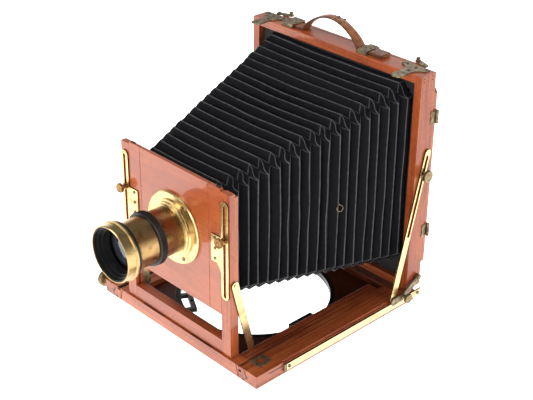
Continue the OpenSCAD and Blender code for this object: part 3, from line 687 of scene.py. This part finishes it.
class BellowsShape:
    """A square pleated bellows with clipped ridges, between the two ends of the CAD solid."""

    def __init__(self):
        verts = [v.co.copy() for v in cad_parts["bellows"].data.vertices]
        low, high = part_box("bellows")
        self.rear, self.nose = high.y, low.y
        self.ends = []
        for end in (self.rear, self.nose):
            ring = [v for v in verts if abs(v.y - end) < MM]
            self.ends.append((max(v.x for v in ring), min(v.z for v in ring),
                              max(v.z for v in ring)))
        draw = random.Random(7).uniform
        self.shift = [draw(-1.1, 1.1) * MM for _ in range(PLEATS)]
        self.waves = [[(draw(-2.0, 2.0) * MM, draw(-1.0, 1.0) * MM, draw(0, 6.28),
                        draw(-1.2, 1.2) * MM) for _ in range(4)] for _ in range(PLEATS)]
        self.kinks = [[(draw(0.8, 3.2) * MM, draw(0.2, 2.6) * MM) for _ in range(4)]
                      for _ in range(PLEATS)]

    def valley_y(self, index):
        return self.rear + (self.nose - self.rear) * index / PLEATS

    def half_sizes(self, y):
        share = (y - self.rear) / (self.nose - self.rear)
        return [a + (b - a) * share for a, b in zip(*self.ends)]

    def corners(self, y, height):
        """The eight corners of the ring at y; height is 0 in a valley and 1 on a ridge."""
        half, bottom, top = self.half_sizes(y)
        inset = FOLD_DEPTH * (1 - height)
        cut = RIDGE_CUT * height + VALLEY_CUT * (1 - height)
        w, b, t = half - inset, bottom + inset, top - inset
        return [(-w + cut, t), (w - cut, t), (w, t - cut), (w, b + cut), (w - cut, b),
                (-w + cut, b), (-w, b + cut), (-w, t - cut)]

    def ring(self, pleat, station):
        """Points and wear round one ring."""
        share = STATIONS[station]
        y = self.valley_y(pleat + share)
        height = 1 - abs(2 * share - 1)
        if pleat == 0 and share < 0.5:
            height = 0.9 + 0.2 * share
        height = min(1.0, height + 0.05 * math.sin(math.pi * height))
        corners = self.corners(y, height)
        index = min(pleat, PLEATS - 1)
        ridge = abs(share - 0.5) < 1e-6
        points, wear = [], []
        for edge in range(8):
            a, b = corners[edge], corners[(edge + 1) % 8]
            length = math.dist(a, b)
            is_side = edge % 2 == 0
            count = SIDE_STEPS if is_side else CORNER_STEPS
            steps = [0, min(CREASE / length, 0.4 / count)]
            steps += [k / count for k in range(1, count)]
            steps.append(1 - steps[1])
            for u in steps:
                x, z = a[0] + (b[0] - a[0]) * u, a[1] + (b[1] - a[1]) * u
                dy = self.shift[index] * height
                if is_side:
                    dy, x, z = self.sagged(index, edge // 2, u, height, dy, x, z)
                else:
                    dy, x, z = self.crumpled(index, edge // 2, u, height, dy, x, z)
                points.append(Vector((x, y + dy, z)))
                crease = 0.50 if u == 0 and height > 0.03 else 0.0
                crease = 1.0 if u == 0 and height > 0.7 and edge in (3, 4) else crease
                wear.append(0.9 if ridge else crease)
        return points, wear

    def sagged(self, index, side, u, height, dy, x, z):
        """Bows and waves of a long fold; sides run top, right, bottom, left."""
        bow, ripple, phase, drop = self.waves[index][side]
        arch = math.sin(math.pi * u)
        dy += height * arch * (bow + ripple * math.sin(4 * math.pi * u + phase))
        if side == 0:
            z -= arch * (1.6 * MM + 0.5 * drop)
        elif side == 2:
            z -= arch * (1.2 * MM + drop) * (0.4 + 0.6 * height)
        else:
            outward = 1 if side == 1 else -1
            x += outward * arch * 0.6 * drop
        return dy, x, z

    def crumpled(self, index, corner, u, height, dy, x, z):
        """Kinks and dents of the facets between two sides."""
        kink, dent = self.kinks[index][corner]
        _, bottom, top = self.half_sizes(self.valley_y(index))
        away = Vector((x, z - (bottom + top) / 2)).normalized()
        pinch = dent * math.sin(math.pi * u) * (0.35 + 0.65 * height)
        dy += kink * math.sin(2 * math.pi * u) * (0.25 + 0.75 * height)
        return dy, x - away.x * pinch, z - away.y * pinch

    def stage(self, first, last):
        """Rings from one valley to another, as (points, wear) lists."""
        rings = [self.ring(pleat, station) for pleat in range(first, last)
                 for station in range(len(STATIONS))]
        if last == PLEATS:
            rings.append(self.end_ring())
        else:
            rings.append(self.ring(last, 0))
        return rings

    def end_ring(self):
        points, wear = self.ring(PLEATS - 1, 0)
        corners = self.corners(self.nose, 0)
        before = self.corners(self.valley_y(PLEATS - 1), 0)
        grow = corners[1][0] / before[1][0]
        centre_after = (corners[2][1] + corners[3][1]) / 2
        centre_before = (before[2][1] + before[3][1]) / 2
        moved = [Vector((p.x * grow, self.nose, centre_after + (p.z - centre_before) * grow))
                 for p in points]
        return moved, wear


def solid_sheet(piece, thickness):
    """Gives an open sheet a thickness, as part of its mesh."""
    solid = piece.modifiers.new("thickness", "SOLIDIFY")
    solid.thickness = thickness
    solid.offset = -1
    evaluated = piece.evaluated_get(bpy.context.evaluated_depsgraph_get())
    made = bpy.data.meshes.new_from_object(evaluated)
    piece.modifiers.clear()
    piece.data = made


def make_bellows():
    shape = BellowsShape()
    for number, (near, far, first, last) in enumerate(BELLOWS_STAGES):
        rings = shape.stage(first, last)
        count = len(rings[0][0])
        verts = [p for points, _ in rings for p in points]
        faces = [(r * count + k, r * count + (k + 1) % count, (r + 1) * count + (k + 1) % count,
                  (r + 1) * count + k) for r in range(len(rings) - 1) for k in range(count)]
        piece = add_piece(f"bellows_pleats_{number + 1}", verts, faces, CLOTH,
                          stands_for=["bellows"], slot="bellows_cloth", smooth=True)
        attribute = piece.data.attributes.new("wear", "FLOAT", "POINT")
        attribute.data.foreach_set("value", [w for _, wear in rings for w in wear])
        solid_sheet(piece, 0.8 * MM)
        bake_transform(piece)
    make_bellows_ring(shape)


def make_bellows_ring(shape):
    """Small brass ring sewn to a ridge on the right side, which hooks the folds up."""
    near, far, first, last = BELLOWS_STAGES[1]
    y = shape.valley_y(7.5)
    half = shape.half_sizes(y)[0]
    place = Vector((half + 1.6 * MM, y + 3 * MM, 167 * MM))
    parts = Parts()
    parts.add(ring_mesh(4.2 * MM, 0.6 * MM), facing(place, (1, -0.35, 0.25)))
    parts.add(turned_mesh([(0.2 * MM, 0), (1.3 * MM, 0), (1.3 * MM, 0.6 * MM),
                           (0.9 * MM, 1.1 * MM), (0.2 * MM, 1.3 * MM)], 20),
              facing(place + Vector((-1.6 * MM, 0, 5.0 * MM)), (1, 0, 0)))
    ring = parts.piece("bellows_ring", AGED_BRASS, None, slot="aged_brass", smooth=True)
    shape.valley_y(first)
    shape.valley_y(last)
    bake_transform(ring)


# ---- clamp screws and lens ring ----
def knob_profile(stages):
    """Turned profile from (radius, height) corners given in millimetres."""
    return [(max(r, 0.05) * MM, h * MM) for r, h in stages]


def make_knob(node, axis, radius, thickness, hub, body, material, slot):
    """A milled clamp screw that takes the place of a CAD knob; its outer end is its node's face."""
    low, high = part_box(node)
    direction = Vector(axis)
    k = max(range(3), key=lambda i: abs(direction[i]))
    outer = high[k] if direction[k] > 0 else low[k]
    top = 11.0
    base = middle(node)
    base[k] = outer - direction[k] * top * MM
    rim0 = top - thickness
    stages = [(0, 0), (hub, 0), (hub, 1.6), (hub * 0.62, 2.4), (hub * 0.62, rim0 - 0.6),
              (radius - 0.9, rim0)]
    rim = [(radius, rim0 + 0.6), (radius, rim0 + 0.7), (radius, top - 0.8), (radius, top - 0.7)]
    face = [(radius - 0.7, top), (radius * 0.66, top), (radius * 0.60, top - 0.5),
            (radius * 0.34, top - 0.5), (radius * 0.30, top), (0.4, top)]
    ribs = ((rim0 + 0.65) * MM, (top - 0.75) * MM, 0.35 * MM)
    parts = Parts()
    parts.add(turned_mesh(knob_profile(stages + rim + face), 72, ribs), facing(base, direction))
    piece = parts.piece(f"{node}_milled", material, body, stands_for=[node], slot=slot,
                        smooth=True)
    soften(piece, EDGE_KNOB, 40)


def make_knobs():
    for side, sign in (("left", -1), ("right", 1)):
        out = (sign, 0, 0)
        make_knob(f"rise_knob_{side}", (0, -1, 0), 6.4, 4.4, 4.4, f"rise_clamp_{side}",
                  KNOB_BRASS, "bright_brass")
        make_knob(f"strut_knob_{side}", out, 8.2, 4.6, 4.0, f"strut_clamp_{side}",
                  OLD_KNOB_BRASS, "aged_brass")
        make_knob(f"rail_knob_{side}", out, 6.6, 4.6, 4.0, f"rail_clamp_{side}",
                  OLD_KNOB_BRASS, "bright_brass")


def make_focus_knob():
    low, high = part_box("focus_knob")
    centre = middle("focus_knob")
    thick, radius, hub = 6.0, 12.3, 6.0
    depth = (high.x - low.x) / MM
    stages = [(0, 0), (hub, 0), (hub, depth - thick - 0.4), (radius - 1.0, depth - thick),
              (radius, depth - thick + 0.8), (radius, depth - thick + 1.0), (radius, depth - 1.0),
              (radius, depth - 0.8), (radius - 1.0, depth), (radius * 0.7, depth - 0.3),
              (radius * 0.66, depth - 0.8), (3.2, depth - 0.8), (3.0, depth - 0.2), (0, depth)]
    ribs = ((depth - thick + 0.9) * MM, (depth - 0.9) * MM, 0.45 * MM)
    parts = Parts()
    parts.add(turned_mesh(knob_profile(stages), 96, ribs),
              facing((high.x, centre.y, centre.z), (-1, 0, 0)))
    piece = parts.piece("focus_knob_milled", OLD_KNOB_BRASS, "focus_pinion",
                        stands_for=["focus_knob"], slot="bright_brass", smooth=True)
    soften(piece, EDGE_KNOB, 40)


def make_iris_ring():
    """Milled black ring that sets the iris, with a small index stud."""
    low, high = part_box("iris_ring")
    radius = (high.x - low.x) / 2 / MM
    width = (high.y - low.y) / MM
    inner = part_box("rear_barrel")[1].x / MM - 1.9
    stages = [(inner, 0), (radius - 1.2, 0), (radius - 0.5, 0.6), (radius, 1.1), (radius, 1.3),
              (radius, width - 1.3), (radius, width - 1.1), (radius - 0.5, width - 0.6),
              (radius - 1.2, width), (inner, width)]
    segments = 240
    verts, faces = turned_mesh(knob_profile(stages), segments,
                               (1.2 * MM, (width - 1.2) * MM, 0.45 * MM))
    faces = faces[:-2]
    last = (len(stages) - 1) * segments
    faces += [(k + last, (k + 1) % segments + last, (k + 1) % segments, k)
              for k in range(segments)]
    parts = Parts()
    parts.add((verts, faces), facing((0, high.y, LENS_Z), (0, -1, 0)))
    stud_at = math.radians(135)
    reach = (radius - 0.4) * MM
    out = Vector((math.cos(stud_at), 0, math.sin(stud_at)))
    parts.add(turned_mesh(knob_profile([(0, 0), (1.5, 0), (1.5, 1.6), (1.0, 2.0), (0, 2.1)]), 24),
              facing(Vector((0, (low.y + high.y) / 2, LENS_Z)) + out * reach * 0.985, out))
    parts.piece("iris_ring_milled", BLACK_METAL, "iris", stands_for=["iris_ring"],
                slot="blackened_brass", smooth=True)
    bpy.data.objects["iris_ring_milled"].data.set_sharp_from_angle(angle=math.radians(38))


# ---- screws ----
def make_panel_screws(chance):
    parts = Parts()
    height = 0.7 * MM
    for low, high in solids_of("panel_screws"):
        radius = (high.x - low.x) / 2
        head = Vector(((low.x + high.x) / 2, low.y + height * 0.9, (low.z + high.z) / 2))
        parts.add(slotted_head(radius, height, chance.uniform(0, 3.1)),
                  facing(head, (0, -1, 0)))
    parts.piece("panel_screw_heads", AGED_BRASS, "lens_board", stands_for=["panel_screws"],
                slot="aged_brass")


def make_base_screws(chance):
    parts = Parts()
    height = 1.0 * MM
    for low, high in solids_of("base_screws"):
        side = 1 if high.x > 0 else -1
        face = high.x if side > 0 else low.x
        head = Vector((face - side * height * 0.95, (low.y + high.y) / 2, (low.z + high.z) / 2))
        parts.add(slotted_head((high.y - low.y) / 2, height, chance.uniform(0, 3.1)),
                  facing(head, (side, 0, 0)))
    parts.piece("base_screw_heads", AGED_BRASS, "base", stands_for=["base_screws"],
                slot="aged_brass")


def make_corner_screws(chance):
    """Screws of the plates on the body's top corners, as (inwards, rearwards, radius) in mm."""
    parts = Parts()
    for _, high in solids_of("corner_plates"):
        side = 1 if high.x > 0 else -1
        centre = side * 125.5 * MM
        for across, back, radius in ((15.5, 20.0, 1.9), (-1.0, 16.0, 2.0), (-14.5, 20.0, 1.9),
                                     (0.5, 3.5, 1.9)):
            at = Vector((centre - side * across * MM, back * MM, high.z - 0.15 * MM))
            parts.add(slotted_head(radius * MM, 0.6 * MM, chance.uniform(0, 3.1)),
                      facing(at, (0, 0, 1)))
    parts.piece("corner_plate_screws", BLACK_METAL, "rear_body", slot="aged_brass")


def make_screws():
    """Slotted heads where the CAD has plain ones, and on the corner plates."""
    chance = random.Random(3)
    make_panel_screws(chance)
    make_base_screws(chance)
    make_corner_screws(chance)


# ---- carrying handle ----
ARCH_FROM, ARCH_TO, ARCH_RISE = -64.0, 34.0, 27.5
STRAP_LEFT, STRAP_RIGHT = -102.0, 77.0


def strap_line():
    """Middle line of the strap as (x, height above the board), in millimetres."""
    points = [(STRAP_LEFT + (ARCH_FROM - STRAP_LEFT) * k / 10, 0.0) for k in range(10)]
    steps = 48
    for k in range(steps + 1):
        share = k / steps
        points.append((ARCH_FROM + (ARCH_TO - ARCH_FROM) * share,
                       ARCH_RISE * math.sin(math.pi * share) ** 0.72 if 0 < share < 1 else 0.0))
    points += [(ARCH_TO + (STRAP_RIGHT - ARCH_TO) * k / 10, 0.0) for k in range(1, 11)]
    return points


def strap_mesh(points, widths, thickness, middle_y, steps=12):
    """A strap swept along points, with rounded edges; also returns the edge wear."""
    verts, faces, wear = [], [], []
    half_t = thickness / 2
    section = []
    for k in range(steps + 1):
        u = -1 + 2 * k / steps
        section.append((u, half_t * (1 - abs(u) ** 6 * 0.55) + 0.10 * (1 - u * u)))
    outline = section + [(u, -h) for u, h in reversed(section)]
    for index, (x, z) in enumerate(points):
        before = points[max(index - 1, 0)]
        after = points[min(index + 1, len(points) - 1)]
        slope = Vector((after[0] - before[0], after[1] - before[1])).normalized()
        width = widths(x)
        for u, h in outline:
            verts.append(Vector(((x - slope.y * h) * MM, middle_y + u * width / 2 * MM,
                                 BODY_TOP + (z + half_t + 0.12 + slope.x * h) * MM)))
            wear.append(1.0 if abs(u) > 0.93 else (0.35 if abs(abs(u) - 0.66) < 0.09 else 0.0))
    n = len(outline)
    for ring in range(len(points) - 1):
        for k in range(n):
            a, b = ring * n + k, ring * n + (k + 1) % n
            faces.append((a, b, b + n, a + n))
    faces.append(tuple(range(n - 1, -1, -1)))
    faces.append(tuple(range(len(verts) - n, len(verts))))
    return verts, faces, wear


def make_strap(middle_y):
    def widths(x):
        inside = max(0.0, 1 - abs(x - (ARCH_FROM + ARCH_TO) / 2) / 60)
        return 17.6 - 3.0 * min(1.0, inside * 2)

    verts, faces, wear = strap_mesh(strap_line(), widths, 3.2, middle_y)
    strap = add_piece("handle_strap_leather", verts, faces, LEATHER, "rear_body",
                      stands_for=["handle_strap"], slot="brown_leather", smooth=True)
    strap.data.attributes.new("wear", "FLOAT", "POINT").data.foreach_set("value", wear)
    strap.data.set_sharp_from_angle(angle=math.radians(50))


def make_strap_ends(low, high):
    """The strap's ends, folded back over it beyond the loops."""
    layers = Parts()
    for x0, x1, z0, z1 in ((57.5, 77.6, 3.5, 5.2), (-101.5, -99.0, 3.4, 4.6)):
        layers.add(block_mesh((x0 * MM, low.y + 0.4 * MM, BODY_TOP + z0 * MM),
                              (x1 * MM, high.y - 0.4 * MM, BODY_TOP + z1 * MM)))
    folded = layers.piece("handle_strap_ends", LEATHER, "rear_body", slot="brown_leather")
    folded.data.attributes.new("wear", "FLOAT", "POINT").data.foreach_set(
        "value", [0.6] * len(folded.data.vertices))
    soften(folded, 0.5 * MM)


def make_strap_rivets(middle_y):
    rivets = Parts()
    dome = knob_profile([(0, 0), (1.7, 0), (1.6, 0.5), (1.1, 0.95), (0.5, 1.15), (0, 1.2)])
    for x, z, lean in ((-9.0, ARCH_RISE, 0.12), (1.5, ARCH_RISE - 1.2, 0.30)):
        for across in (-4.2, 4.2):
            rivets.add(turned_mesh(dome, 20),
                       facing((x * MM, middle_y + across * MM, BODY_TOP + (z + 3.3) * MM),
                              (lean, 0, 1)))
    for low, high in solids_of("handle_loops"):
        for across in (-0.27, 0.27):
            x = (low.x + high.x) / 2 + across * (high.x - low.x)
            rivets.add(turned_mesh(dome, 20), facing((x, middle_y, high.z - 0.1 * MM), (0, 0, 1)))
    rivets.piece("handle_rivets", AGED_BRASS, "rear_body", slot="aged_brass", smooth=True)


def make_handle():
    low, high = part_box("handle_strap")
    middle_y = (low.y + high.y) / 2
    make_strap(middle_y)
    make_strap_ends(low, high)
    make_strap_rivets(middle_y)


# ---- small joinery, trim and painted shade lines ----
def bent_line(points, width, rise):
    """A thin inlaid line along points on the front face, as (x, z) in millimetres."""
    verts, faces = [], []
    for index, (x, z) in enumerate(points):
        before = points[max(index - 1, 0)]
        after = points[min(index + 1, len(points) - 1)]
        slope = Vector((after[0] - before[0], after[1] - before[1])).normalized()
        for side in (-0.5, 0.5):
            px = (x - slope.y * width * side) * MM
            pz = (z + slope.x * width * side) * MM
            verts += [Vector((px, 0.2 * MM, pz)), Vector((px, -rise * MM, pz))]
    for k in range(len(points) - 1):
        a = 4 * k
        faces += [(a + 1, a + 5, a + 7, a + 3), (a, a + 2, a + 6, a + 4),
                  (a, a + 4, a + 5, a + 1), (a + 2, a + 3, a + 7, a + 6)]
    a = 4 * (len(points) - 1)
    faces += [(0, 1, 3, 2), (a, a + 2, a + 3, a + 1)]
    return verts, faces


def make_base_joints():
    """The curved joint lines of the base's front corners, with a nail beside each pair."""
    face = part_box("side_rail_right")[0].y
    front = Matrix.Translation((0, face, 0))
    nail = knob_profile([(0, 0), (1.3, 0), (1.1, 0.35), (0, 0.4)])
    steps = 14
    lines = Parts()
    for side in (-1, 1):
        for x0, x1, z0, z1 in ((113.6, 117.2, 17.7, 0.6), (127.6, 133.4, 15.7, 5.4)):
            curve = [(side * (x0 + (x1 - x0) * (0.5 - 0.5 * math.cos(math.pi * k / steps))),
                      z0 + (z1 - z0) * k / steps + 0.9 * math.sin(2 * math.pi * k / steps))
                     for k in range(steps + 1)]
            lines.add(bent_line(curve, 1.1, 0.06), front)
        lines.add(turned_mesh(nail, 16), facing((side * 126 * MM, face, 1.9 * MM), (0, -1, 0)))
    lines.piece("base_joint_lines", DARK_MARKS_AND_SHADE, "base", slot="mahogany")


def make_dovetail_nails():
    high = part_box("body_right_board")[1]
    head = knob_profile([(0, 0), (0.9, 0), (0.8, 0.12), (0, 0.15)])
    nails = Parts()
    for side in (-1, 1):
        for drop in (3.5, 8.0):
            for back in (5.0, 12.5, 20.5):
                at = (side * high.x, back * MM, high.z - drop * MM)
                nails.add(turned_mesh(head, 14), facing(at, (side, 0, 0)))
    nails.piece("body_dovetail_nails", DARK_MARKS_AND_SHADE, "rear_body", slot="mahogany")


def make_panel_catches():
    """Two small black catches let into the lens panel's top edge."""
    low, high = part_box("lens_panel")
    catches = Parts()
    for side in (-1, 1):
        x = side * 79 * MM
        catches.add(block_mesh((x - 3.2 * MM, low.y + 1.8 * MM, high.z - 0.2 * MM),
                               (x + 3.2 * MM, low.y + 4.6 * MM, high.z + 1.0 * MM)))
    soften(catches.piece("panel_top_catches", BLACK_METAL, "lens_board", slot="aged_brass"),
           0.3 * MM)


def make_front_shadow_strips():
    """Painted shadow: dark strips on top of the sliding frame's front bar, before the standard,
    standing in for the shadow in the gap at the standard's foot.
    """
    foot, rail_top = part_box("standard_foot")[0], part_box("front_bar")[1].z
    shadow_strips = Parts()
    for x0, x1 in ((-68.6, -26.4), (26.4, 65.6)):
        shadow_strips.add(block_mesh((x0 * MM, foot.y - 1.9 * MM, rail_top - 1.0 * MM),
                              (x1 * MM, foot.y - 0.1 * MM, rail_top - 0.05 * MM)))
    soften(shadow_strips.piece("front_bar_inlays", BLACK_WOOD, "focus_frame", slot="black_wood"),
           0.2 * MM)


def make_bar_clips():
    """Dull clips over the front ends of the brass slide bars."""
    clips = Parts()
    for low, high in solids_of("slide_bars"):
        clips.add(block_mesh((low.x - 0.2 * MM, low.y - 0.8 * MM, low.z - 0.5 * MM),
                             (high.x + 0.5 * MM, low.y + 3.5 * MM, high.z + 0.5 * MM)))
    soften(clips.piece("slide_bar_end_clips", AGED_BRASS, "base", slot="aged_brass"), 0.4 * MM)


def make_gap_shade_lines(name, node, body, places):
    """Painted shade: dark lines along the top of both rails like node, at these distances from the
    middle, standing in for the shade in the narrow gaps between the strips.
    """
    low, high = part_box(node)
    joints = Parts()
    for x in places:
        for side in (-1, 1):
            edges = sorted(side * (x + w) * MM for w in (-0.35, 0.35))
            joints.add(block_mesh((edges[0], low.y + MM, high.z - 0.6 * MM),
                                  (edges[1], high.y - MM, high.z - 0.03 * MM)))
    joints.piece(name, DARK_MARKS_AND_SHADE, body, slot="mahogany")


def make_kerf_shadows():
    """The dark inside of the saw kerfs in the base's sides."""
    kerfs = Parts()
    for side in (-1, 1):
        x0, x1 = sorted((side * 148.0 * MM, side * 149.7 * MM))
        kerfs.add(block_mesh((x0, -251.6 * MM, 12.7 * MM), (x1, -230.3 * MM, 13.7 * MM)))
    kerfs.piece("side_kerf_shadows", DARK_MARKS_AND_SHADE, "base", slot="mahogany")


def make_trim():
    make_base_joints()
    make_dovetail_nails()
    make_panel_catches()
    make_front_shadow_strips()
    make_bar_clips()
    make_gap_shade_lines("rail_joint_lines", "guide_strip_right", "base", (131, 118))
    make_gap_shade_lines("focus_rail_lines", "focus_rail_right", "focus_frame", (111.5,))
    make_kerf_shadows()


finish_nodes()
make_bellows()
make_knobs()
make_focus_knob()
make_iris_ring()
make_screws()
make_handle()
make_trim()
